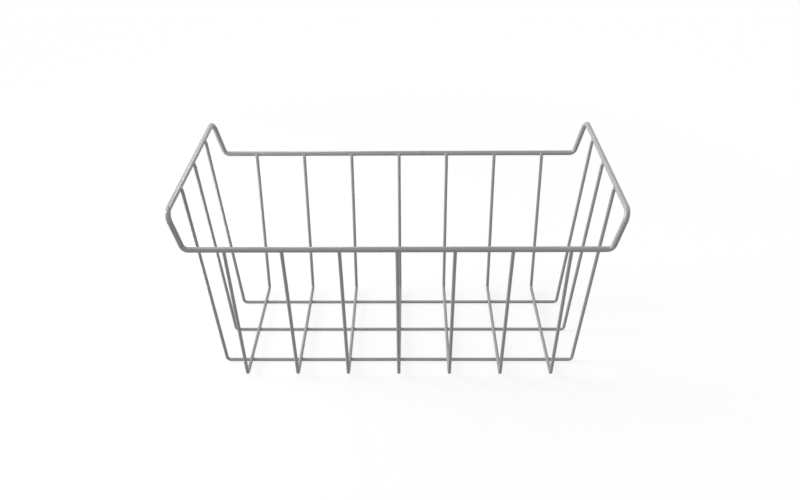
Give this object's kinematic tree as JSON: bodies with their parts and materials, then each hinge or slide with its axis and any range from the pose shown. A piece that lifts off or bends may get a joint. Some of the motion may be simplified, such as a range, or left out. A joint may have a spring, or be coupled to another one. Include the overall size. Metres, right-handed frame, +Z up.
{
  "type": "wire freezer basket",
  "caption": "Open welded-wire basket with flared walls and a rod rim whose raised end bars hang on a chest freezer's ledges and serve as handles.",
  "frame": {"origin": "under the middle of the basket, on the surface that its long wires stand on", "axes": "+X along the basket towards its right end bar, +Y from front to back, +Z up"},
  "size_m": [0.468, 0.2282, 0.2435],
  "materials": {
    "coated_steel": "silver-grey semi-gloss coat on steel wire"
  },
  "bodies": {
    "root": {"rim_frame": "coated_steel", "cross_wire_1": "coated_steel", "cross_wire_2": "coated_steel", "cross_wire_3": "coated_steel", "cross_wire_4": "coated_steel", "cross_wire_5": "coated_steel", "cross_wire_6": "coated_steel", "cross_wire_7": "coated_steel", "long_wire_front": "coated_steel", "long_wire_middle": "coated_steel", "long_wire_back": "coated_steel"}
  },
  "joints": []
}
